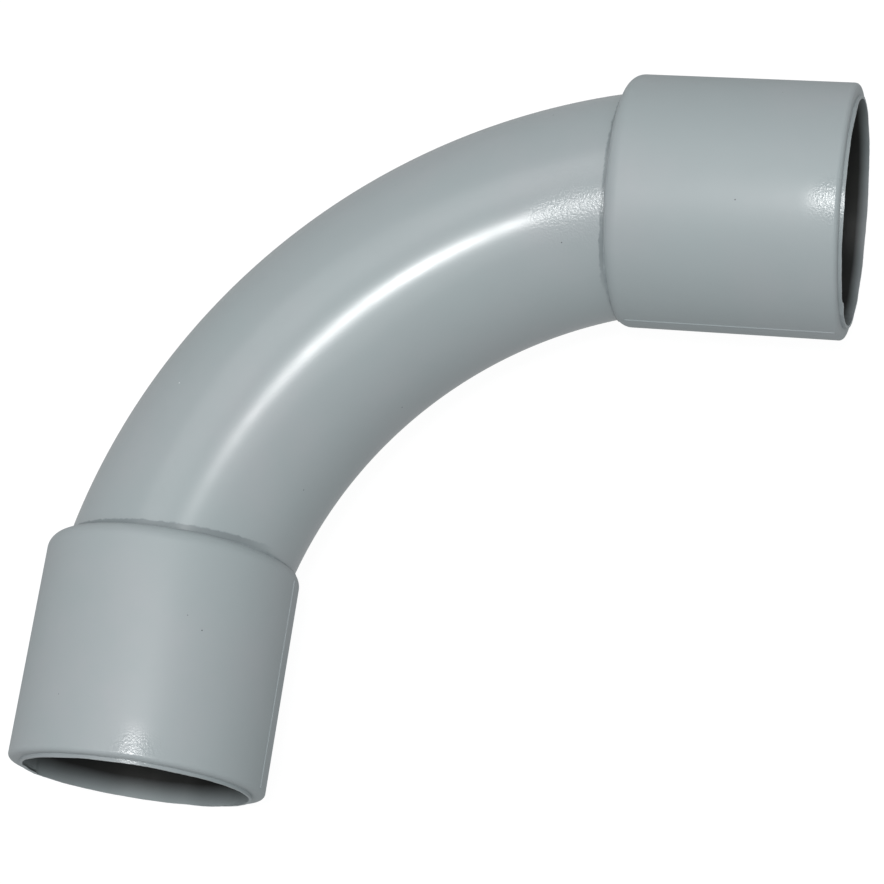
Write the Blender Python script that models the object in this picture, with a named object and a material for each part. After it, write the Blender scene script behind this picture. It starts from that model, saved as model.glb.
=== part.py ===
"""PVC conduit elbow for 50 mm rigid conduit.

A plain bent tube carries a sleeve on each end. Each sleeve is solvent-cemented over
the end of the tube and leaves an open socket, where a conduit pushes in up to a stop.

Frame: +Z up. The bend lies flat, so its centre line is level and both sleeves touch
z = 0. The origin is under the middle of the footprint. One mouth faces -Y, the other +X.
"""

import math

import bmesh
import bpy
from mathutils import Matrix, Vector

MM = 0.001

# Bent tube
TUBE_DIAMETER = 50.0 * MM
TUBE_WALL = 2.5 * MM
BEND_RADIUS = 120.0 * MM            # of the centre line, between the sleeves
ELBOW_ANGLE = math.radians(90.0)    # turned by the whole elbow, from mouth to mouth
ENTRY_ANGLE = math.radians(13.0)    # the part of it that each sleeve hides
SEAT_BEND_RADIUS = 55.0 * MM        # of that hidden turn, which lines the end up with the socket
SPIGOT_STRAIGHT = 1.5 * MM          # straight end of the tube, after the hidden turn

# Sleeves
SLEEVE_LENGTH = 52.0 * MM
SLEEVE_WALL = 3.3 * MM              # around the conduit
SHOULDER_ROUND = 3.5 * MM
MOUTH_ROUND = 1.0 * MM
MOUTH_LEAD_IN = 0.5 * MM
STOP_THICKNESS = 1.6 * MM           # of the rib that a pushed-in conduit meets
STOP_HEIGHT = 2.4 * MM

# Fits
CONDUIT_CLEARANCE = 0.2 * MM        # around a conduit of the tube's own diameter
CEMENT_THICKNESS = 0.3 * MM
CEMENT_GAP = 0.1 * MM               # between the cement and the plastic on each side of it
CEMENT_RECESS = 1.2 * MM            # from the sleeve's shoulder down to the cement
END_GAP = 0.3 * MM                  # between the tube's end and the stop

# Facets
SIDES = 48                          # a multiple of 4 puts a corner on each axis of a circle
TURN_STEP = math.radians(3.25)      # largest turn between two rings of facets
SHOULDER_STEPS = 5
MOUTH_STEPS = 3
SMOOTH_BELOW = math.radians(30.0)
OVERRUN = math.radians(8.0)         # how far a cut piece or a cutter runs on past the shoulder

# Colours, linear
PVC_GREY = (0.30, 0.34, 0.35, 1.0)
CEMENT_GREY = (0.22, 0.25, 0.26, 1.0)
PVC_ROUGHNESS = 0.35
CEMENT_ROUGHNESS = 0.5

tube_radius = TUBE_DIAMETER / 2
socket_radius = tube_radius + CONDUIT_CLEARANCE
sleeve_radius = socket_radius + SLEEVE_WALL
stop_radius = socket_radius - STOP_HEIGHT
cement_radius = tube_radius + CEMENT_GAP + CEMENT_THICKNESS
pocket_radius = cement_radius + CEMENT_GAP

# Depths run along a sleeve, from its shoulder towards its mouth.
tube_end_depth = SEAT_BEND_RADIUS * math.sin(ENTRY_ANGLE) + SPIGOT_STRAIGHT
stop_back_depth = tube_end_depth + END_GAP
stop_face_depth = stop_back_depth + STOP_THICKNESS

# The bend's centre of curvature is at (0, 0) while the pieces are made. The front
# sleeve's axis passes it at this distance, parallel to Y.
axis_offset = (
    BEND_RADIUS * math.cos(ENTRY_ANGLE) + SEAT_BEND_RADIUS * (1 - math.cos(ENTRY_ANGLE))
)
shoulder_y = BEND_RADIUS * math.sin(ENTRY_ANGLE)


def clear_scene():
    for obj in list(bpy.data.objects):
        bpy.data.objects.remove(obj, do_unlink=True)


def plastic(name, colour, roughness):
    """A plain Principled plastic."""
    material = bpy.data.materials.new(name)
    material.use_nodes = True
    shader = material.node_tree.nodes["Principled BSDF"]
    shader.inputs["Base Color"].default_value = colour
    shader.inputs["Roughness"].default_value = roughness
    shader.inputs["Metallic"].default_value = 0.0
    return material


def finished_mesh(bm, name, material):
    """Turns the faces outwards, smooths the round ones and returns the mesh."""
    bmesh.ops.recalc_face_normals(bm, faces=bm.faces)
    mesh = bpy.data.meshes.new(name)
    bm.to_mesh(mesh)
    bm.free()
    mesh.shade_smooth()
    mesh.set_sharp_from_angle(angle=SMOOTH_BELOW)
    mesh.materials.append(material)
    return mesh


def straight(length):
    """A straight stretch of a path: no turn, then its length."""
    return 0.0, length


def turn(angle, radius):
    """A turn of a path to the right: its angle, then its radius."""
    return angle, radius


def sweep(radius, wall, depth, path):
    """A closed bar along a path that starts inside the front sleeve.

    The bar is a pipe where it has a wall, and solid where its wall is None.
    """
    bm = bmesh.new()
    position = Vector((-axis_offset, shoulder_y - depth, 0))
    heading = Vector((0, 1, 0))
    facing_y = Matrix.Translation(position) @ Matrix.Rotation(math.pi / 2, 4, "X")
    bmesh.ops.create_circle(
        bm, cap_ends=True, segments=SIDES, radius=radius, matrix=facing_y
    )
    section = list(bm.faces)
    if wall:
        flat_wall = wall * math.cos(math.pi / SIDES)
        ring = bmesh.ops.inset_region(
            bm, faces=section, thickness=flat_wall, use_boundary=True, use_even_offset=True
        )["faces"]
        bmesh.ops.delete(bm, geom=section, context="FACES")
        section = ring
    start = section
    for angle, length in path:
        if angle:
            centre = position + length * Vector((heading.y, -heading.x, 0))
            moved = bmesh.ops.spin(
                bm, geom=section, cent=centre, axis=(0, 0, 1), angle=-angle,
                steps=math.ceil(angle / TURN_STEP),
            )["geom_last"]
            rightwards = Matrix.Rotation(-angle, 3, "Z")
            position = centre + rightwards @ (position - centre)
            heading = rightwards @ heading
        else:
            moved = bmesh.ops.extrude_face_region(bm, geom=section)["geom"]
            verts = [item for item in moved if isinstance(item, bmesh.types.BMVert)]
            bmesh.ops.translate(bm, verts=verts, vec=heading * length)
            position = position + heading * length
        passed = [] if section is start else [face for face in section if face.is_valid]
        bmesh.ops.delete(bm, geom=passed, context="FACES")
        section = [item for item in moved if isinstance(item, bmesh.types.BMFace)]
    return bm


def quarter_round(centre, radius, start, steps):
    """Points of a quarter circle in a (radius, depth) outline, from a start angle."""
    angles = [start + math.pi / 2 * step / steps for step in range(steps + 1)]
    return [
        (centre[0] + radius * math.cos(a), centre[1] + radius * math.sin(a)) for a in angles
    ]


def sleeve_outline():
    """The sleeve's turned section as (radius, depth), before its pocket is cut."""
    shoulder = quarter_round(
        (sleeve_radius - SHOULDER_ROUND, SHOULDER_ROUND), SHOULDER_ROUND,
        -math.pi / 2, SHOULDER_STEPS,
    )
    mouth = quarter_round(
        (sleeve_radius - MOUTH_ROUND, SLEEVE_LENGTH - MOUTH_ROUND), MOUTH_ROUND,
        0.0, MOUTH_STEPS,
    )
    return [
        (stop_radius, 0.0),
        *shoulder,
        *mouth,
        (socket_radius + MOUTH_LEAD_IN, SLEEVE_LENGTH),
        (socket_radius, SLEEVE_LENGTH - MOUTH_LEAD_IN),
        (socket_radius, stop_face_depth),
        (stop_radius, stop_face_depth),
    ]


def turned_sleeve():
    """The front sleeve's outline, spun about the sleeve's axis."""
    bm = bmesh.new()
    verts = [
        bm.verts.new((-axis_offset + radius, shoulder_y - depth, 0))
        for radius, depth in sleeve_outline()
    ]
    edges = [bm.edges.new(pair) for pair in zip(verts, verts[1:] + verts[:1])]
    bmesh.ops.spin(
        bm, geom=verts + edges, cent=(-axis_offset, 0, 0), axis=(0, 1, 0),
        angle=math.tau, steps=SIDES, use_merge=True,
    )
    return bm


def placed(mesh, name, parent):
    """An object of this mesh, carried by one end of the elbow."""
    obj = bpy.data.objects.new(name, mesh)
    bpy.context.scene.collection.objects.link(obj)
    obj.parent = parent
    return obj


def make_tube(elbow):
    """The bent tube, end to end, with its bore."""
    path = [
        straight(SPIGOT_STRAIGHT),
        turn(ENTRY_ANGLE, SEAT_BEND_RADIUS),
        turn(ELBOW_ANGLE - 2 * ENTRY_ANGLE, BEND_RADIUS),
        turn(ENTRY_ANGLE, SEAT_BEND_RADIUS),
        straight(SPIGOT_STRAIGHT),
    ]
    bm = sweep(tube_radius, TUBE_WALL, tube_end_depth, path)
    mesh = finished_mesh(bm, "bend_tube", plastic("tube_pvc", PVC_GREY, PVC_ROUGHNESS))
    return placed(mesh, "bend_tube", elbow)


def make_sleeves(ends):
    """A sleeve on each end. Its rear pocket follows the tube that enters it."""
    sleeve_mesh = finished_mesh(
        turned_sleeve(), "socket", plastic("sleeve_pvc", PVC_GREY, PVC_ROUGHNESS)
    )
    pocket_path = [
        straight(SPIGOT_STRAIGHT + END_GAP),
        turn(ENTRY_ANGLE, SEAT_BEND_RADIUS),
        turn(OVERRUN, BEND_RADIUS),
    ]
    cutter_mesh = finished_mesh(
        sweep(pocket_radius, None, stop_back_depth, pocket_path), "pocket",
        plastic("cutter", PVC_GREY, PVC_ROUGHNESS),
    )
    sleeves = []
    for side, end in ends.items():
        sleeve = placed(sleeve_mesh, f"socket_{side}", end)
        cutter = placed(cutter_mesh, f"pocket_cutter_{side}", end)
        cutter.hide_render = True
        cutter.display_type = "WIRE"
        pocket = sleeve.modifiers.new("tube_pocket", "BOOLEAN")
        pocket.object = cutter
        pocket.operation = "DIFFERENCE"
        pocket.solver = "EXACT"
        sleeves.append(sleeve)
    return sleeves


def cement_film():
    """A thin pipe around the tube's end, cut off level below the sleeve's shoulder."""
    path = [
        straight(SPIGOT_STRAIGHT),
        turn(ENTRY_ANGLE, SEAT_BEND_RADIUS),
        turn(OVERRUN, BEND_RADIUS),
    ]
    bm = sweep(cement_radius, CEMENT_THICKNESS, tube_end_depth, path)
    cut = bmesh.ops.bisect_plane(
        bm, geom=[*bm.verts, *bm.edges, *bm.faces], clear_outer=True,
        plane_co=(0, shoulder_y - CEMENT_RECESS, 0), plane_no=(0, 1, 0),
    )["geom_cut"]
    rims = [item for item in cut if isinstance(item, bmesh.types.BMEdge)]
    bmesh.ops.triangle_fill(bm, edges=rims)
    return bm


def make_cement(ends):
    """The film of solvent cement that holds each sleeve on the tube."""
    mesh = finished_mesh(
        cement_film(), "cement", plastic("solvent_cement", CEMENT_GREY, CEMENT_ROUGHNESS)
    )
    return [placed(mesh, f"cement_{side}", end) for side, end in ends.items()]


def make_ends(elbow):
    """Two empties at the bend's centre. The right one is the front one, turned over.

    The axis of the half turn runs from the bend's centre to the middle of the bend.
    """
    ends = {}
    middle = Vector((-math.cos(ELBOW_ANGLE / 2), math.sin(ELBOW_ANGLE / 2), 0))
    for side, half_turns in (("front", 0), ("right", 1)):
        end = placed(None, f"{side}_end", elbow)
        end.matrix_local = Matrix.Rotation(half_turns * math.pi, 4, middle)
        ends[side] = end
    return ends


def stand_on_floor(elbow, nodes):
    """Moves the elbow so that the origin is under the middle of its footprint."""
    bpy.context.view_layer.update()
    corners = [node.matrix_world @ vert.co for node in nodes for vert in node.data.vertices]
    lowest = [min(corner[axis] for corner in corners) for axis in range(3)]
    highest = [max(corner[axis] for corner in corners) for axis in range(3)]
    elbow.location = (
        -(lowest[0] + highest[0]) / 2,
        -(lowest[1] + highest[1]) / 2,
        -lowest[2],
    )


def main():
    clear_scene()
    elbow = placed(None, "elbow", None)
    ends = make_ends(elbow)
    nodes = [make_tube(elbow), *make_sleeves(ends), *make_cement(ends)]
    stand_on_floor(elbow, nodes)


main()
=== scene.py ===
"""Looks of the PVC conduit elbow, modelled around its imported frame."""

import math

import bmesh
import bpy
from mathutils import Matrix, Vector, noise


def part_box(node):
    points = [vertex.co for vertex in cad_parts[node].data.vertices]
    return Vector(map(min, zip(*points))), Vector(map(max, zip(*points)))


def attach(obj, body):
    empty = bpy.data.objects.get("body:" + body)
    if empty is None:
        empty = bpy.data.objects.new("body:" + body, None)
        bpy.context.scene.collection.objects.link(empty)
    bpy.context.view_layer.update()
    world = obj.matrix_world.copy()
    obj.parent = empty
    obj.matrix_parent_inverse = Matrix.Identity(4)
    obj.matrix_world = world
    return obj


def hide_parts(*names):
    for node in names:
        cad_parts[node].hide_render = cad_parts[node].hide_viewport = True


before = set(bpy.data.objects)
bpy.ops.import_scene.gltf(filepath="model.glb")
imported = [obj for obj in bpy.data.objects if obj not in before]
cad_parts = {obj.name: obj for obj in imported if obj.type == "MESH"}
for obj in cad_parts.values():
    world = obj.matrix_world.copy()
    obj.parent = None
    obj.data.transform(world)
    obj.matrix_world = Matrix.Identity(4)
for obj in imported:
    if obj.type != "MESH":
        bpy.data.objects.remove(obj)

bl_info = {
    "name": "Conduit Elbow",
    "version": (1, 0, 0),
    "blender": (4, 5, 0),
    "location": "View3D > Sidebar > Elbow",
    "description": "Models a grey PVC conduit elbow: bent tube, sleeve sockets, cement and trim",
    "category": "Add Mesh",
}

BODY = "root"
MM = 0.001
ON_PLANE = 1e-5  # how near to a plane a point counts as lying on it

SLEEVE_LOW, SLEEVE_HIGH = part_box("socket_front")
TUBE_LOW, TUBE_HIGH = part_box("bend_tube")
SLEEVE_AXIS_X = (SLEEVE_LOW.x + SLEEVE_HIGH.x) / 2
AXIS_Z = (SLEEVE_LOW.z + SLEEVE_HIGH.z) / 2
SHOULDER_Y = SLEEVE_HIGH.y
MOUTH_Y = SLEEVE_LOW.y

# gritty stretches of skin: the tube's is measured from the bend's centre, a mouth's from
# the middle of the front mouth; the right one is turned over, so its height changes sign
TUBE_GRIT_AT = Vector((-0.033, 0.107, 0.0235))
TUBE_GRIT_REACH = 0.014
MOUTH_GRIT_AT = Vector((0.0083, 0.0015, 0.0268))
MOUTH_GRIT_REACH = 0.009

# painted shade on the tube beside each shoulder, a ragged band in the cement's grey: its soft
# upper edge above the front shoulder, how much lower that edge lies at the right one, and the
# heights between which it fades in, so that it lies on the upper side only
SHOULDER_SHADE_EDGE = (1.35 * MM, 1.0 * MM)
RIGHT_SHOULDER_SHADE_CUT = 0.55 * MM
SHOULDER_SHADE_HEIGHTS = (38 * MM, 46 * MM)

# flash round each mouth: how far it is worn, and the angle and half width of its spur
FLASH_REACH = 0.22 * MM
FRONT_SPUR = (math.radians(-86), math.radians(12))
RIGHT_SPUR = (math.radians(-78), math.radians(5))
SPUR_EDGE = math.radians(3)

# how deep into a socket the painted shade has darkened the plastic to the near-black of the bore
FRONT_PAINTED_SHADE_DEPTH = 5.2 * MM
RIGHT_PAINTED_SHADE_DEPTH = 2.6 * MM


# ---------------------------------------------------------------- properties


class ElbowSizes(bpy.types.PropertyGroup):
    """Sizes of the elbow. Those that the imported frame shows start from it."""

    tube_diameter: bpy.props.FloatProperty(
        name="Tube Diameter", description="Outside diameter of the bent tube",
        default=TUBE_HIGH.z - TUBE_LOW.z, subtype="DISTANCE", unit="LENGTH",
    )
    tube_wall: bpy.props.FloatProperty(
        name="Tube Wall", description="Thickness of the bent tube's wall",
        default=2.5 * MM, precision=5, subtype="DISTANCE", unit="LENGTH",
    )
    bend_radius: bpy.props.FloatProperty(
        name="Bend Radius", description="Radius of the bend's centre line",
        default=120 * MM, subtype="DISTANCE", unit="LENGTH",
    )
    entry_angle: bpy.props.FloatProperty(
        name="Entry Angle", description="Turn of the tube that each sleeve hides",
        default=math.radians(13), subtype="ANGLE", unit="ROTATION",
    )
    seat_bend_radius: bpy.props.FloatProperty(
        name="Seat Bend Radius", description="Radius of the hidden turn inside a sleeve",
        default=55 * MM, subtype="DISTANCE", unit="LENGTH",
    )
    spigot_straight: bpy.props.FloatProperty(
        name="Spigot Straight", description="Straight end of the tube inside a sleeve",
        default=1.5 * MM, precision=5, subtype="DISTANCE", unit="LENGTH",
    )
    sleeve_diameter: bpy.props.FloatProperty(
        name="Sleeve Diameter", description="Outside diameter of a sleeve",
        default=SLEEVE_HIGH.z - SLEEVE_LOW.z, subtype="DISTANCE", unit="LENGTH",
    )
    sleeve_wall: bpy.props.FloatProperty(
        name="Sleeve Wall", description="Thickness of a sleeve around its socket",
        default=3.3 * MM, precision=5, subtype="DISTANCE", unit="LENGTH",
    )
    shoulder_round: bpy.props.FloatProperty(
        name="Shoulder Rounding", description="Radius of a sleeve's outer edge at the tube",
        default=3.5 * MM, precision=5, subtype="DISTANCE", unit="LENGTH",
    )
    mouth_round: bpy.props.FloatProperty(
        name="Mouth Rounding", description="Radius of a sleeve's outer edge at its mouth",
        default=1.15 * MM, precision=5, subtype="DISTANCE", unit="LENGTH",
    )
    lip_width: bpy.props.FloatProperty(
        name="Lip Width", description="Width of the moulding flash round a socket's edge",
        default=0.55 * MM, precision=5, subtype="DISTANCE", unit="LENGTH",
    )
    lip_height: bpy.props.FloatProperty(
        name="Lip Height", description="How far that flash stands out of the mouth's face",
        default=0.8 * MM, precision=5, subtype="DISTANCE", unit="LENGTH",
    )
    stop_thickness: bpy.props.FloatProperty(
        name="Stop Thickness", description="Length of the rib that stops a conduit",
        default=1.6 * MM, precision=5, subtype="DISTANCE", unit="LENGTH",
    )
    stop_height: bpy.props.FloatProperty(
        name="Stop Height", description="How far that rib stands out of the socket's bore",
        default=2.4 * MM, precision=5, subtype="DISTANCE", unit="LENGTH",
    )
    cement_gap: bpy.props.FloatProperty(
        name="Cement Gap", description="Space on each side of the cement film",
        default=0.03 * MM, precision=5, subtype="DISTANCE", unit="LENGTH",
    )
    cement_thickness: bpy.props.FloatProperty(
        name="Cement Thickness", description="Thickness of the cement film",
        default=0.44 * MM, precision=5, subtype="DISTANCE", unit="LENGTH",
    )
    recess_outer: bpy.props.FloatProperty(
        name="Outer Recess", description="Depth of the cement on the outer side of the bend",
        default=1.0 * MM, precision=5, subtype="DISTANCE", unit="LENGTH",
    )
    recess_inner: bpy.props.FloatProperty(
        name="Inner Recess", description="Depth of the cement on the inner side of the bend",
        default=0.22 * MM, precision=5, subtype="DISTANCE", unit="LENGTH",
    )
    end_gap: bpy.props.FloatProperty(
        name="End Gap", description="Space between the tube's end and the stop rib",
        default=0.3 * MM, precision=5, subtype="DISTANCE", unit="LENGTH",
    )
    seam_width: bpy.props.FloatProperty(
        name="Seam Width", description="Width of the mould's parting ridge on a sleeve",
        default=0.34 * MM, precision=5, subtype="DISTANCE", unit="LENGTH",
    )
    seam_height: bpy.props.FloatProperty(
        name="Seam Height", description="Height of the mould's parting ridge on a sleeve",
        default=0.18 * MM, precision=5, subtype="DISTANCE", unit="LENGTH",
    )
    sides: bpy.props.IntProperty(
        name="Sides", description="Corners of each circle, a multiple of 4",
        default=288, min=16,
    )


class ElbowFinish(bpy.types.PropertyGroup):
    """Colours and gloss of the plastic and the cement."""

    pvc: bpy.props.FloatVectorProperty(
        name="PVC Grey", description="Main colour of the plastic",
        default=(0.33, 0.375, 0.385), size=3, min=0, max=1, subtype="COLOR",
    )
    pvc_warm: bpy.props.FloatVectorProperty(
        name="PVC Warm Patch", description="Colour of the faint warmer patches",
        default=(0.35, 0.375, 0.39), size=3, min=0, max=1, subtype="COLOR",
    )
    pvc_roughness: bpy.props.FloatProperty(
        name="PVC Roughness", description="Roughness of the plastic's skin",
        default=0.24, min=0, max=1,
    )
    sleeve_roughness: bpy.props.FloatProperty(
        name="Sleeve Roughness",
        description="Roughness of the moulded sleeves, which are more matt",
        default=0.46, min=0, max=1,
    )
    # painted shade: a near-black colour laid on the inside walls, standing in for the shade deep
    # in the bores
    bore_painted_shade: bpy.props.FloatVectorProperty(
        name="Painted Bore Shade", description="Colour of the shade painted on the inside of the elbow",
        default=(0.024, 0.025, 0.024), size=3, min=0, max=1, subtype="COLOR",
    )
    cement: bpy.props.FloatVectorProperty(
        name="Cement Grey", description="Colour of the dried solvent cement",
        default=(0.20, 0.23, 0.24), size=3, min=0, max=1, subtype="COLOR",
    )


# softboxes round the elbow: name, azimuth from -Y towards +X in degrees, and glow
SOFTBOXES = (
    ("front_right", 45, 1.0), ("back", 180, 0.67), ("back_left", 225, 1.0),
    ("front_left", 315, 1.2),
)
SOFTBOX_SIZE = (0.5, 0.5)
TOP_SIZE = (0.6, 0.6)
SOFTBOX_DISTANCE = 1.0
STRIP_DIRECTION = (0.139, -0.153, 0.978)
STRIP_DISTANCE = 0.9
STRIP_SIZE = (0.18, 0.13)
STRIP_ALONG = (0.8, 0.6, 0)
FLOOR_SIZE = 8
AIR_TINT = (0.97, 0.99, 1.0, 1.0)


class ElbowStudio(bpy.types.PropertyGroup):
    """Camera and lights."""

    azimuth: bpy.props.FloatProperty(
        name="Azimuth", description="Camera's turn round the elbow, from -Y towards +X",
        default=math.radians(41.37), subtype="ANGLE", unit="ROTATION",
    )
    elevation: bpy.props.FloatProperty(
        name="Elevation", description="Camera's height above the horizon, as an angle",
        default=math.radians(68.106), subtype="ANGLE", unit="ROTATION",
    )
    roll: bpy.props.FloatProperty(
        name="Roll", description="Camera's turn about its own line of sight",
        default=math.radians(8.562), subtype="ANGLE", unit="ROTATION",
    )
    distance: bpy.props.FloatProperty(
        name="Distance", description="From the camera to the point it looks at",
        default=0.5905, subtype="DISTANCE", unit="LENGTH",
    )
    look_at: bpy.props.FloatVectorProperty(
        name="Look At", description="Point that the camera looks at",
        default=(-0.0001, -0.0027, 0.0285), size=3, subtype="TRANSLATION", unit="LENGTH",
    )
    lens: bpy.props.FloatProperty(
        name="Lens", description="Focal length in millimetres, on a 36 mm sensor",
        default=107.78,
    )
    top_glow: bpy.props.FloatProperty(
        name="Top Glow", description="Brightness of the softbox straight above",
        default=0.05, min=0,
    )
    strip_glow: bpy.props.FloatProperty(
        name="Strip Glow", description="Brightness of the narrow lamp beside the camera",
        default=43.0, min=0,
    )
    softbox_elevation: bpy.props.FloatProperty(
        name="Softbox Elevation", description="Height of the ring of softboxes, as an angle",
        default=math.radians(62), subtype="ANGLE", unit="ROTATION",
    )
    table_glow: bpy.props.FloatProperty(
        name="Table Glow", description="Light that the opal table gives from below",
        default=0.95, min=0,
    )
    room_glow: bpy.props.FloatProperty(
        name="Room Glow", description="Even light from all round the elbow",
        default=0.475, min=0,
    )


# ---------------------------------------------------------------- modelling helpers


def pick_only(obj):
    """Makes this the one selected and active object."""
    bpy.ops.object.select_all(action="DESELECT")
    obj.select_set(True)
    bpy.context.view_layer.objects.active = obj


def start_edit(obj, kind):
    """Opens edit mode with nothing selected; kind is VERT, EDGE or FACE."""
    pick_only(obj)
    bpy.ops.object.mode_set(mode="EDIT")
    bpy.ops.mesh.select_mode(type=kind)
    bpy.ops.mesh.select_all(action="DESELECT")


def end_edit():
    bpy.ops.object.mode_set(mode="OBJECT")


def pick(obj, kind, test):
    """Selects just the elements of this kind that pass the test."""
    bpy.ops.mesh.select_mode(type=kind)
    bpy.ops.mesh.select_all(action="DESELECT")
    bm = bmesh.from_edit_mesh(obj.data)
    items = {"VERT": bm.verts, "EDGE": bm.edges, "FACE": bm.faces}[kind]
    found = False
    for item in items:
        if test(item):
            item.select_set(True)
            found = True
    if not found:
        raise RuntimeError(f"{obj.name}: no {kind.lower()} to select")
    bm.select_flush_mode()
    bmesh.update_edit_mesh(obj.data)


def apply_place(obj):
    """Puts the object's place and turn into its mesh."""
    pick_only(obj)
    bpy.ops.object.transform_apply(location=True, rotation=True, scale=True)


def apply_modifier(obj, kind, name, **settings):
    modifier = obj.modifiers.new(name, kind)
    for key, value in settings.items():
        setattr(modifier, key, value)
    pick_only(obj)
    bpy.ops.object.modifier_apply(modifier=modifier.name)


def smooth(obj, angle=math.radians(30)):
    pick_only(obj)
    bpy.ops.object.shade_smooth_by_angle(angle=angle)


def name_piece(obj, name):
    obj.name = name
    obj.data.name = name
    return obj


def line_bore(obj, material, test):
    """Gives the faces inside a piece their own material."""
    obj.data.materials.append(material)
    start_edit(obj, "FACE")
    pick(obj, "FACE", test)
    obj.active_material_index = len(obj.data.materials) - 1
    bpy.ops.object.material_slot_assign()
    end_edit()


def dress(obj, material, replaced=None):
    """Gives a finished piece its material and body, and hides the CAD part it replaces."""
    obj.data.materials.clear()
    obj.data.materials.append(material)
    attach(obj, BODY)
    if replaced:
        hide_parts(replaced)


# ---------------------------------------------------------------- shared geometry


def shared(sizes):
    """Distances that several pieces use, worked out from the sizes."""
    place = {}
    hidden = sizes.entry_angle
    place["axis_offset"] = (
        sizes.bend_radius * math.cos(hidden) + sizes.seat_bend_radius * (1 - math.cos(hidden))
    )
    place["centre"] = Vector((
        SLEEVE_AXIS_X + place["axis_offset"],
        SHOULDER_Y - sizes.bend_radius * math.sin(hidden),
        AXIS_Z,
    ))
    place["tube_end_depth"] = (
        sizes.seat_bend_radius * math.sin(hidden) + sizes.spigot_straight
    )
    place["tube_radius"] = sizes.tube_diameter / 2
    place["sleeve_radius"] = sizes.sleeve_diameter / 2
    place["socket_radius"] = place["sleeve_radius"] - sizes.sleeve_wall
    place["cement_radius"] = place["tube_radius"] + sizes.cement_gap + sizes.cement_thickness
    place["pocket_radius"] = place["cement_radius"] + sizes.cement_gap
    return place


def turn_over(place):
    """The half turn that carries the front end of the elbow onto the right end."""
    middle = Vector((-1, 1, 0))
    return (
        Matrix.Translation(place["centre"])
        @ Matrix.Rotation(math.pi, 4, middle)
        @ Matrix.Translation(-place["centre"])
    )


def other_end(obj, name, place):
    """A copy of a front piece, with its own mesh, turned over onto the right end."""
    pick_only(obj)
    bpy.ops.object.duplicate()
    copy = name_piece(bpy.context.active_object, name)
    copy.data.transform(turn_over(place))
    copy.data.update()
    return copy


def sweep_circle(name, radius, depth, moves, sizes, fill):
    """A circle carried along the tube's path from a depth inside the front sleeve.

    A move is (angle, radius) for a turn, or (0, length) for a straight stretch.
    """
    bpy.ops.object.select_all(action="DESELECT")
    at = Vector((SLEEVE_AXIS_X, SHOULDER_Y - depth, AXIS_Z))
    bpy.ops.mesh.primitive_circle_add(
        vertices=sizes.sides, radius=radius, location=at, rotation=(math.pi / 2, 0, 0),
        fill_type="NGON" if fill else "NOTHING",
    )
    obj = name_piece(bpy.context.active_object, name)
    apply_place(obj)
    bpy.ops.object.mode_set(mode="EDIT")
    bpy.ops.mesh.select_mode(type="FACE" if fill else "EDGE")
    bpy.ops.mesh.select_all(action="SELECT")
    heading = Vector((0, 1, 0))
    for angle, length in moves:
        if angle:
            centre = at + length * Vector((heading.y, -heading.x, 0))
            bpy.ops.mesh.spin(
                steps=max(2, round(math.degrees(angle))), angle=angle,
                center=centre, axis=(0, 0, 1), use_auto_merge=False,
            )
            turn = Matrix.Rotation(-angle, 3, "Z")
            at = centre + turn @ (at - centre)
            heading = turn @ heading
        else:
            bpy.ops.mesh.extrude_region_move(
                TRANSFORM_OT_translate={"value": heading * length}
            )
            at = at + heading * length
    bpy.ops.mesh.select_all(action="SELECT")
    bpy.ops.mesh.normals_make_consistent(inside=False)
    end_edit()
    return obj


# ---------------------------------------------------------------- materials


class NodeSheet:
    """Adds shader nodes one after another and links them by socket name."""

    def __init__(self, name):
        self.material = bpy.data.materials.new(name)
        self.material.use_nodes = True
        self.tree = self.material.node_tree
        self.shader = self.tree.nodes["Principled BSDF"]
        self.column = -1600

    def add(self, kind, label, **inputs):
        node = self.tree.nodes.new(kind)
        node.label = label
        node.location = (self.column, 200)
        self.column += 60
        for key, value in inputs.items():
            socket = node.inputs[key.replace("_", " ")]
            if isinstance(value, bpy.types.NodeSocket):
                self.tree.links.new(value, socket)
            else:
                socket.default_value = value
        return node

    def math(self, operation, first, second):
        node = self.tree.nodes.new("ShaderNodeMath")
        node.operation = operation
        node.location = (self.column, -100)
        self.column += 60
        for socket, value in zip(node.inputs, (first, second)):
            if isinstance(value, bpy.types.NodeSocket):
                self.tree.links.new(value, socket)
            else:
                socket.default_value = value
        return node.outputs[0]

    def blend(self, label, factor, first, second):
        node = self.tree.nodes.new("ShaderNodeMix")
        node.data_type = "RGBA"
        node.label = label
        node.location = (self.column, 300)
        self.column += 60
        colours = {s.name: s for s in node.inputs if s.type == "RGBA"}
        sockets = (node.inputs[0], colours["A"], colours["B"])
        for socket, value in zip(sockets, (factor, first, second)):
            if isinstance(value, bpy.types.NodeSocket):
                self.tree.links.new(value, socket)
            else:
                socket.default_value = value
        return [s for s in node.outputs if s.type == "RGBA"][0]

    def ramp(self, value, low, high, start=0.0, end=1.0):
        """Stretches a value from low..high to start..end, held at both ends."""
        node = self.tree.nodes.new("ShaderNodeMapRange")
        node.location = (self.column, 0)
        self.column += 60
        self.tree.links.new(value, node.inputs["Value"])
        node.inputs["From Min"].default_value = low
        node.inputs["From Max"].default_value = high
        node.inputs["To Min"].default_value = start
        node.inputs["To Max"].default_value = end
        return node.outputs["Result"]


def opaque(colour):
    return (*colour, 1.0)


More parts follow.
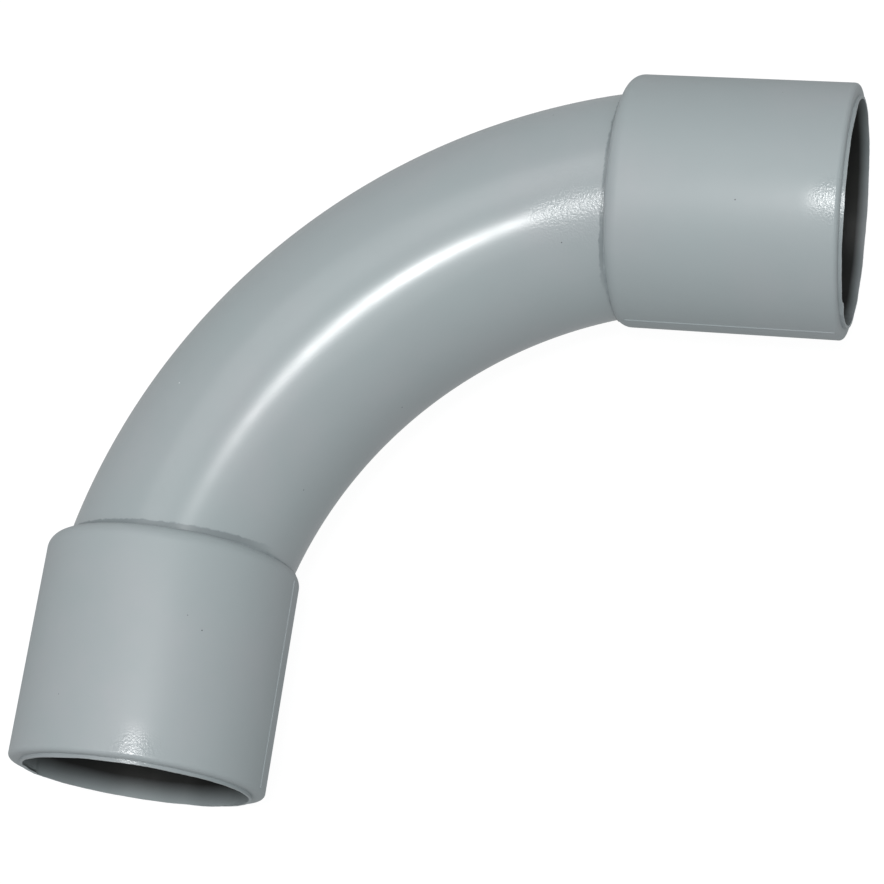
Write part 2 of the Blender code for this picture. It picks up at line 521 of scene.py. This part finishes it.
def pvc_material(name, finish, roughness, rough_spot=None, bore=None, shoulder_shade=False):
    """Grey moulded plastic: faint patches, specks, a satin skin with slight ripples.

    The rough spot is (place, reach) of a gritty stretch. The bore is (axis letter, mouth,
    end) of a socket: painted shade darkens the colour inwards between them. Shoulder shade
    paints a ragged band of shade, in the cement's grey, onto the tube just above both shoulders.
    """
    sheet = NodeSheet(name)
    where = sheet.add("ShaderNodeTexCoord", "Where").outputs["Object"]

    patches = sheet.add("ShaderNodeTexNoise", "Patches", Vector=where, Scale=26.0,
                        Detail=2.0, Roughness=0.5).outputs["Fac"]
    clouds = sheet.add("ShaderNodeTexNoise", "Clouds", Vector=where, Scale=95.0,
                       Detail=3.0, Roughness=0.6).outputs["Fac"]
    base = sheet.blend("Patch tint", sheet.ramp(patches, 0.38, 0.62),
                       opaque(finish.pvc), opaque(finish.pvc_warm))
    darker = tuple(0.97 * c for c in finish.pvc)
    base = sheet.blend("Cloud tint", sheet.ramp(clouds, 0.15, 0.85),
                       base, opaque(darker))

    cells = sheet.add("ShaderNodeTexVoronoi", "Specks", Vector=where, Scale=150.0)
    chosen = sheet.add("ShaderNodeSeparateColor", "Pick", Color=cells.outputs["Color"])
    near = sheet.ramp(cells.outputs["Distance"], 0.028, 0.016)
    dark_ones = sheet.math("GREATER_THAN", chosen.outputs[0], 0.45)
    light_ones = sheet.math("GREATER_THAN", chosen.outputs[1], 0.80)
    base = sheet.blend("Dark specks", sheet.math("MULTIPLY", near, dark_ones),
                       base, (0.06, 0.065, 0.07, 1.0))
    base = sheet.blend("Light specks", sheet.math("MULTIPLY", near, light_ones),
                       base, (0.75, 0.78, 0.80, 1.0))
    # painted shade: a ragged dark band in the cement's grey on the tube's upper side, just above
    # each shoulder, where shade falls beside the sleeve's edge
    if shoulder_shade:
        split = sheet.add("ShaderNodeSeparateXYZ", "Off shoulders", Vector=where)
        front = sheet.math("SUBTRACT", split.outputs["Y"], SHOULDER_Y)
        right = sheet.math("SUBTRACT", -SHOULDER_Y + RIGHT_SHOULDER_SHADE_CUT, split.outputs["X"])
        ragged = sheet.add("ShaderNodeTexNoise", "Ragged", Vector=where, Scale=700.0,
                           Detail=2.0).outputs["Fac"]
        off = sheet.math("ADD", sheet.math("MINIMUM", front, right),
                         sheet.math("MULTIPLY", sheet.math("SUBTRACT", ragged, 0.5),
                                    0.9 * MM))
        line = sheet.math("MULTIPLY", sheet.ramp(off, *SHOULDER_SHADE_EDGE),
                          sheet.ramp(split.outputs["Z"], *SHOULDER_SHADE_HEIGHTS))
        base = sheet.blend("Painted shoulder shade", sheet.math("MULTIPLY", line, 0.95), base,
                           opaque(finish.cement))
    # painted shade: deeper into a socket, the colour turns to the near-black bore shade, where
    # the bore lies in shade
    if bore:
        letter, mouth, end = bore
        split = sheet.add("ShaderNodeSeparateXYZ", "Along", Vector=where)
        depth = sheet.math("ADD", sheet.ramp(split.outputs[letter], mouth, end),
                           sheet.math("MULTIPLY", clouds, 0.12))
        base = sheet.blend("Painted bore shade", sheet.ramp(depth, 0.1, 1.0), base,
                           opaque(finish.bore_painted_shade))
    sheet.tree.links.new(base, sheet.shader.inputs["Base Color"])

    skin = sheet.add("ShaderNodeTexNoise", "Skin", Vector=where, Scale=300.0,
                     Detail=1.0, Roughness=0.5).outputs["Fac"]
    ripple = sheet.add("ShaderNodeTexNoise", "Ripple", Vector=where, Scale=60.0,
                       Detail=2.0, Roughness=0.5).outputs["Fac"]
    rough = sheet.ramp(clouds, 0.1, 0.9, roughness - 0.04, roughness + 0.04)
    height = sheet.math("MULTIPLY", skin, 0.12)
    if rough_spot:
        at, reach = rough_spot
        off = sheet.add("ShaderNodeVectorMath", "From spot")
        off.operation = "DISTANCE"
        sheet.tree.links.new(where, off.inputs[0])
        off.inputs[1].default_value = at
        inside = sheet.ramp(off.outputs["Value"], reach, reach * 0.35)
        inside.node.interpolation_type = "SMOOTHSTEP"
        outside = sheet.math("SUBTRACT", 1.0, inside)
        rough = sheet.math("ADD", sheet.math("MULTIPLY", rough, outside),
                           sheet.math("MULTIPLY", inside, finish.pvc_roughness))
        grit = sheet.add("ShaderNodeTexNoise", "Grit", Vector=where, Scale=1900.0,
                         Detail=2.0, Roughness=0.6).outputs["Fac"]
        grit = sheet.math("MULTIPLY", sheet.math("SUBTRACT", grit, 0.5), inside)
        height = sheet.math("ADD", height, sheet.math("MULTIPLY", grit, 2.6))
    sheet.tree.links.new(rough, sheet.shader.inputs["Roughness"])
    fine = sheet.add("ShaderNodeBump", "Fine", Strength=0.6, Distance=0.00004, Height=height)
    wide = sheet.add("ShaderNodeBump", "Wide", Strength=0.5, Distance=0.00012, Height=ripple)
    sheet.tree.links.new(fine.outputs["Normal"], wide.inputs["Normal"])
    sheet.tree.links.new(wide.outputs["Normal"], sheet.shader.inputs["Normal"])
    sheet.shader.inputs["IOR"].default_value = 1.54
    return sheet.material


def cement_material(name, finish):
    """Dried solvent cement: darker, lumpy and a little glossier."""
    sheet = NodeSheet(name)
    where = sheet.add("ShaderNodeTexCoord", "Where").outputs["Object"]
    lumps = sheet.add("ShaderNodeTexNoise", "Lumps", Vector=where, Scale=350.0,
                      Detail=3.0, Roughness=0.6).outputs["Fac"]
    pale = tuple(1.35 * c for c in finish.cement)
    colour = sheet.blend("Tint", sheet.ramp(lumps, 0.35, 0.65),
                         opaque(finish.cement), opaque(pale))
    sheet.tree.links.new(colour, sheet.shader.inputs["Base Color"])
    sheet.tree.links.new(sheet.ramp(lumps, 0.3, 0.7, 0.42, 0.56),
                         sheet.shader.inputs["Roughness"])
    bump = sheet.add("ShaderNodeBump", "Lumpy", Strength=0.7, Distance=0.0002, Height=lumps)
    sheet.tree.links.new(bump.outputs["Normal"], sheet.shader.inputs["Normal"])
    return sheet.material


def floor_material(name, glow):
    """Opal white light table: matt, and softly lit from below."""
    sheet = NodeSheet(name)
    where = sheet.add("ShaderNodeTexCoord", "Where").outputs["Object"]
    tooth = sheet.add("ShaderNodeTexNoise", "Tooth", Vector=where, Scale=300.0,
                      Detail=3.0).outputs["Fac"]
    colour = sheet.blend("Tint", tooth, (0.08, 0.08, 0.08, 1), (0.10, 0.10, 0.10, 1))
    sheet.tree.links.new(colour, sheet.shader.inputs["Base Color"])
    sheet.shader.inputs["Roughness"].default_value = 0.9
    sheet.shader.inputs["Specular IOR Level"].default_value = 0.2
    sheet.shader.inputs["Emission Color"].default_value = (1, 1, 1, 1)
    sheet.shader.inputs["Emission Strength"].default_value = glow
    return sheet.material


# ---------------------------------------------------------------- pieces


class ELBOW_OT_tube(bpy.types.Operator):
    """Models the bent tube as one swept pipe"""

    bl_idname = "elbow.tube"
    bl_label = "Bent Tube"

    def execute(self, context):
        sizes = context.scene.elbow_sizes
        finish = context.scene.elbow_finish
        place = shared(sizes)
        end = (sizes.entry_angle, sizes.seat_bend_radius)
        tube = sweep_circle(
            "elbow_tube", place["tube_radius"], place["tube_end_depth"],
            [
                (0, sizes.spigot_straight), end,
                (math.pi / 2 - 2 * sizes.entry_angle, sizes.bend_radius),
                end, (0, sizes.spigot_straight),
            ],
            sizes, fill=False,
        )
        apply_modifier(tube, "SOLIDIFY", "Wall", thickness=sizes.tube_wall, offset=-1,
                       use_even_offset=True)
        smooth(tube)
        grit = (place["centre"] + TUBE_GRIT_AT, TUBE_GRIT_REACH)
        # the tube's outside carries the painted shade beside both shoulders
        outside = pvc_material("tube_plastic", finish, finish.pvc_roughness, grit, shoulder_shade=True)
        dress(tube, outside, "bend_tube")
        # painted shade: the ramp ends below every height, so the whole inside wall of the tube
        # is near-black
        inside = pvc_material("tube_bore_painted_shade", finish, finish.pvc_roughness, bore=("Z", -1.0, -0.9))
        centre, radius = place["centre"], place["tube_radius"] - sizes.tube_wall / 2

        def inner_wall(face):
            at = face.calc_center_median()
            spoke = (at - centre).to_2d()
            if at.x < centre.x and at.y > centre.y:
                return math.hypot(spoke.length - sizes.bend_radius, at.z - AXIS_Z) < radius
            return False

        line_bore(tube, inside, inner_wall)
        return {"FINISHED"}


def socket_cutter(sizes, place):
    """The tube's path inside a sleeve, with room for the cement."""
    past_shoulder = math.radians(8)
    depth = place["tube_end_depth"] + sizes.end_gap
    return sweep_circle(
        "cutter", place["pocket_radius"], depth,
        [
            (0, sizes.end_gap + sizes.spigot_straight),
            (sizes.entry_angle, sizes.seat_bend_radius),
            (past_shoulder, sizes.bend_radius),
        ],
        sizes, fill=True,
    )


def off_axis(co):
    """Distance from the front sleeve's own axis."""
    return math.hypot(co.x - SLEEVE_AXIS_X, co.z - AXIS_Z)


def roughen_lip(obj, centre, out, seed, reach, spur):
    """Wears the flash round a mouth: a ragged inner edge and an uneven height.

    The centre is on the mouth's plane and out points out of the mouth. The spur is
    (angle, half width) of a stretch where the flash reaches further over the bore.
    """
    side = Vector((0, 0, 1)).cross(out)
    start_edit(obj, "VERT")
    bm = bmesh.from_edit_mesh(obj.data)
    tip = [v for v in bm.verts if abs((v.co - centre).dot(out)) < 2 * ON_PLANE]
    middle = sum((v.co - centre).length for v in tip) / len(tip)
    for v in tip:
        spoke = v.co - centre
        angle = math.atan2(spoke.dot(side), spoke.z)
        at = Vector((math.cos(angle), math.sin(angle), 0))
        coarse = noise.noise(at * 4 + Vector((0, 0, seed)))
        fine = noise.noise(at * 30 + Vector((0, 0, seed + 9)))
        grain = noise.noise(at * 80 + Vector((0, 0, seed + 17)))
        wear = max(0.0, min(1.0, 0.5 + 0.9 * coarse + 0.28 * fine + 0.12 * grain))
        off = abs((angle - spur[0] + math.pi) % (2 * math.pi) - math.pi)
        extra = max(0.0, min(1.0, (spur[1] - off) / SPUR_EDGE))
        inward = reach * (wear + 3.6 * extra)
        if spoke.length > middle:
            inward *= 0.3
        v.co -= spoke.normalized() * inward
        v.co -= out * 0.7 * reach * (1 - extra) * (1 - wear)
    bmesh.update_edit_mesh(obj.data)
    end_edit()


def model_sleeve(sizes, place):
    """The front sleeve: turned outline, socket, stop rib, and the tube's pocket."""
    face_y = MOUTH_Y + sizes.lip_height
    length = SHOULDER_Y - face_y
    outer = place["sleeve_radius"]
    bore = place["socket_radius"]
    bpy.ops.object.select_all(action="DESELECT")
    bpy.ops.mesh.primitive_cylinder_add(
        vertices=sizes.sides, radius=outer, depth=length, rotation=(math.pi / 2, 0, 0),
        location=(SLEEVE_AXIS_X, face_y + length / 2, AXIS_Z),
    )
    sleeve = name_piece(bpy.context.active_object, "sleeve_front")
    apply_place(sleeve)

    # socket with its stop rib
    start_edit(sleeve, "FACE")
    pick(sleeve, "FACE", lambda f: f.normal.y < -0.9)
    bpy.ops.mesh.inset(thickness=sizes.sleeve_wall - sizes.lip_width, use_even_offset=True)
    bpy.ops.mesh.inset(thickness=sizes.lip_width, use_even_offset=True)
    stop_face = SHOULDER_Y - place["tube_end_depth"] - sizes.end_gap - sizes.stop_thickness
    bpy.ops.mesh.extrude_region_move(
        TRANSFORM_OT_translate={"value": (0, stop_face - face_y, 0)}
    )
    bpy.ops.mesh.inset(thickness=sizes.stop_height, use_even_offset=True)
    bpy.ops.mesh.extrude_region_move(
        TRANSFORM_OT_translate={"value": (0, sizes.stop_thickness + 0.5 * MM, 0)}
    )

    # roundings of the outer edges
    def outer_edge(y):
        return lambda e: all(
            abs(v.co.y - y) < ON_PLANE and off_axis(v.co) > outer - 1e-4 for v in e.verts)

    pick(sleeve, "EDGE", outer_edge(SHOULDER_Y))
    bpy.ops.mesh.bevel(offset=sizes.shoulder_round, segments=16, affect="EDGES")
    pick(sleeve, "EDGE", outer_edge(face_y))
    bpy.ops.mesh.bevel(offset=sizes.mouth_round, segments=10, affect="EDGES")

    # moulding flash round the socket's edge
    pick(sleeve, "FACE", lambda f: f.normal.y < -0.9
         and abs(f.calc_center_median().y - face_y) < ON_PLANE
         and off_axis(f.calc_center_median()) < bore + sizes.lip_width)
    bpy.ops.mesh.extrude_region_move(
        TRANSFORM_OT_translate={"value": (0, -sizes.lip_height, 0)}
    )

    # the mould's parting ridge, on the inner side of the bend
    inner_x = SLEEVE_AXIS_X + outer

    def parting(edge):
        ends = [v.co for v in edge.verts]
        return (
            abs(ends[0].y - ends[1].y) > length / 2
            and all(abs(c.x - inner_x) < ON_PLANE and abs(c.z - AXIS_Z) < ON_PLANE for c in ends)
        )

    pick(sleeve, "EDGE", parting)
    bpy.ops.mesh.bevel(offset=sizes.seam_width / 2, segments=2, affect="EDGES")
    pick(sleeve, "VERT", lambda v: abs(v.co.z - AXIS_Z) < ON_PLANE
         and v.co.x > inner_x - 2 * ON_PLANE)
    bpy.ops.transform.translate(value=(sizes.seam_height, 0, 0))
    bpy.ops.mesh.select_all(action="SELECT")
    bpy.ops.mesh.normals_make_consistent(inside=False)
    end_edit()

    cutter = socket_cutter(sizes, place)
    apply_modifier(sleeve, "BOOLEAN", "Pocket", operation="DIFFERENCE", solver="EXACT",
                   object=cutter)
    bpy.data.objects.remove(cutter)
    start_edit(sleeve, "VERT")
    bpy.ops.mesh.select_all(action="SELECT")
    bpy.ops.mesh.remove_doubles(threshold=1e-6)
    bpy.ops.mesh.normals_make_consistent(inside=False)
    end_edit()
    return sleeve


class ELBOW_OT_sleeves(bpy.types.Operator):
    """Models the front sleeve socket, then turns a copy over onto the right end"""

    bl_idname = "elbow.sleeves"
    bl_label = "Sleeve Sockets"

    def execute(self, context):
        sizes = context.scene.elbow_sizes
        finish = context.scene.elbow_finish
        place = shared(sizes)
        front = model_sleeve(sizes, place)
        right = other_end(front, "sleeve_right", place)
        mouth = Vector((SLEEVE_AXIS_X, MOUTH_Y, AXIS_Z))
        over = turn_over(place)
        roughen_lip(front, mouth, Vector((0, -1, 0)), 3.0, FLASH_REACH, FRONT_SPUR)
        roughen_lip(right, over @ mouth, Vector((1, 0, 0)), 11.0, FLASH_REACH, RIGHT_SPUR)
        smooth(front)
        smooth(right)
        front_spot = mouth + MOUTH_GRIT_AT
        right_spot = over @ (mouth + Vector((*MOUTH_GRIT_AT.xy, -MOUTH_GRIT_AT.z)))
        matt = finish.sleeve_roughness
        dress(front, pvc_material("front_plastic", finish, matt, (front_spot, MOUTH_GRIT_REACH)),
              "socket_front")
        dress(right, pvc_material("right_plastic", finish, matt, (right_spot, MOUTH_GRIT_REACH)),
              "socket_right")
        skin = place["socket_radius"] + 0.02 * MM
        back = over.inverted()
        # painted shade: each socket's bore darkens from its mouth inwards
        line_bore(front, pvc_material("front_bore_painted_shade", finish, matt,
                                      bore=("Y", mouth.y, mouth.y + FRONT_PAINTED_SHADE_DEPTH)),
                  lambda f: off_axis(f.calc_center_median()) < skin)
        line_bore(right, pvc_material("right_bore_painted_shade", finish, matt,
                                      bore=("X", -mouth.y, -mouth.y - RIGHT_PAINTED_SHADE_DEPTH)),
                  lambda f: off_axis(back @ f.calc_center_median()) < skin)
        return {"FINISHED"}


class ELBOW_OT_cement(bpy.types.Operator):
    """Models the thin film of cement between the tube and each sleeve"""

    bl_idname = "elbow.cement"
    bl_label = "Solvent Cement"

    def execute(self, context):
        sizes = context.scene.elbow_sizes
        finish = context.scene.elbow_finish
        place = shared(sizes)
        past_shoulder = math.radians(3)
        film = sweep_circle(
            "cement_film_front", place["cement_radius"], place["tube_end_depth"],
            [
                (0, sizes.spigot_straight), (sizes.entry_angle, sizes.seat_bend_radius),
                (past_shoulder, sizes.bend_radius),
            ],
            sizes, fill=False,
        )
        start_edit(film, "VERT")
        bpy.ops.mesh.select_all(action="SELECT")
        bpy.ops.mesh.bisect(
            plane_co=(SLEEVE_AXIS_X - place["tube_radius"], SHOULDER_Y - sizes.recess_outer, 0),
            plane_no=(sizes.recess_inner - sizes.recess_outer, sizes.tube_diameter, 0),
            clear_outer=True, threshold=1e-6,
        )
        end_edit()
        apply_modifier(film, "SOLIDIFY", "Film", thickness=sizes.cement_thickness,
                       offset=-1, use_even_offset=True)
        smooth(film)
        right = other_end(film, "cement_film_right", place)
        cement = cement_material("cement", finish)
        dress(film, cement, "cement_front")
        dress(right, cement, "cement_right")
        return {"FINISHED"}


# ---------------------------------------------------------------- stage


def camera_turn(studio):
    """The camera's axes as a matrix: right, up, and back towards the camera."""
    flat = math.cos(studio.elevation)
    back = Vector((
        math.sin(studio.azimuth) * flat, -math.cos(studio.azimuth) * flat,
        math.sin(studio.elevation),
    ))
    level = Vector((0, 1, 0)).cross(back).normalized()
    rise = back.cross(level)
    right = math.cos(studio.roll) * level + math.sin(studio.roll) * rise
    up = -math.sin(studio.roll) * level + math.cos(studio.roll) * rise
    return Matrix((right, up, back)).transposed(), back


def add_lamp(name, direction, distance, size, glow, target, along=None):
    """A rectangular lamp that faces the target from this direction.

    Its size is (length, width), with the length along a given direction, and its glow
    is how bright its face looks: a white sheet in full light is 1.
    """
    direction = Vector(direction).normalized()
    along = Vector(along or (1, 0, 0))
    length_axis = (along - along.dot(direction) * direction).normalized()
    turn = Matrix((length_axis, direction.cross(length_axis), direction)).transposed()
    bpy.ops.object.select_all(action="DESELECT")
    bpy.ops.object.light_add(
        type="AREA", location=target + direction * distance, rotation=turn.to_euler(),
    )
    lamp = bpy.context.active_object
    lamp.name = name
    lamp.data.shape = "RECTANGLE"
    lamp.data.size, lamp.data.size_y = size
    lamp.data.energy = glow * math.pi * size[0] * size[1]
    return lamp


class ELBOW_OT_stage(bpy.types.Operator):
    """Sets up the camera, the pale floor and the studio lights"""

    bl_idname = "elbow.stage"
    bl_label = "Stage"

    def execute(self, context):
        studio = context.scene.elbow_studio
        target = Vector(studio.look_at)
        turn, back = camera_turn(studio)
        bpy.ops.object.select_all(action="DESELECT")
        bpy.ops.object.camera_add(
            location=target + back * studio.distance, rotation=turn.to_euler(),
        )
        camera = context.active_object
        camera.name = "camera"
        camera.data.sensor_width = 36
        camera.data.lens = studio.lens
        context.scene.camera = camera

        bpy.ops.mesh.primitive_plane_add(size=FLOOR_SIZE, location=(0, 0, 0))
        floor = name_piece(context.active_object, "floor")
        floor.data.materials.append(floor_material("opal_table", studio.table_glow))
        floor.visible_diffuse = False
        floor.visible_glossy = False

        world = bpy.data.worlds.new("studio_air")
        world.use_nodes = True
        air = world.node_tree.nodes["Background"]
        air.inputs["Color"].default_value = AIR_TINT
        air.inputs["Strength"].default_value = studio.room_glow
        context.scene.world = world
        context.scene.view_settings.view_transform = "Standard"

        add_lamp("softbox_top", (0, 0, 1), SOFTBOX_DISTANCE, TOP_SIZE, studio.top_glow, target)
        tilt = studio.softbox_elevation
        for name, azimuth, glow in SOFTBOXES:
            turned = math.radians(azimuth)
            direction = Vector((
                math.sin(turned) * math.cos(tilt), -math.cos(turned) * math.cos(tilt),
                math.sin(tilt),
            ))
            add_lamp(f"softbox_{name}", direction, SOFTBOX_DISTANCE, SOFTBOX_SIZE, glow, target)
        add_lamp("strip_lamp", STRIP_DIRECTION, STRIP_DISTANCE, STRIP_SIZE,
                 studio.strip_glow, target, along=STRIP_ALONG)
        return {"FINISHED"}


class ELBOW_PT_panel(bpy.types.Panel):
    """Lists the steps that model the elbow"""

    bl_idname = "ELBOW_PT_panel"
    bl_label = "Conduit Elbow"
    bl_space_type = "VIEW_3D"
    bl_region_type = "UI"
    bl_category = "Elbow"

    def draw(self, context):
        for step in STEPS:
            self.layout.operator(step.bl_idname)


STEPS = (ELBOW_OT_tube, ELBOW_OT_sleeves, ELBOW_OT_cement, ELBOW_OT_stage)
GROUPS = {
    "elbow_sizes": ElbowSizes, "elbow_finish": ElbowFinish, "elbow_studio": ElbowStudio,
}
CLASSES = (*GROUPS.values(), *STEPS, ELBOW_PT_panel)


def register():
    for cls in CLASSES:
        bpy.utils.register_class(cls)
    for name, group in GROUPS.items():
        setattr(bpy.types.Scene, name, bpy.props.PointerProperty(type=group))


def unregister():
    for name in GROUPS:
        delattr(bpy.types.Scene, name)
    for cls in reversed(CLASSES):
        bpy.utils.unregister_class(cls)


def main():
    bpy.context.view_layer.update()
    register()
    bpy.ops.elbow.tube()
    bpy.ops.elbow.sleeves()
    bpy.ops.elbow.cement()
    bpy.ops.elbow.stage()


if __name__ == "__main__":
    main()
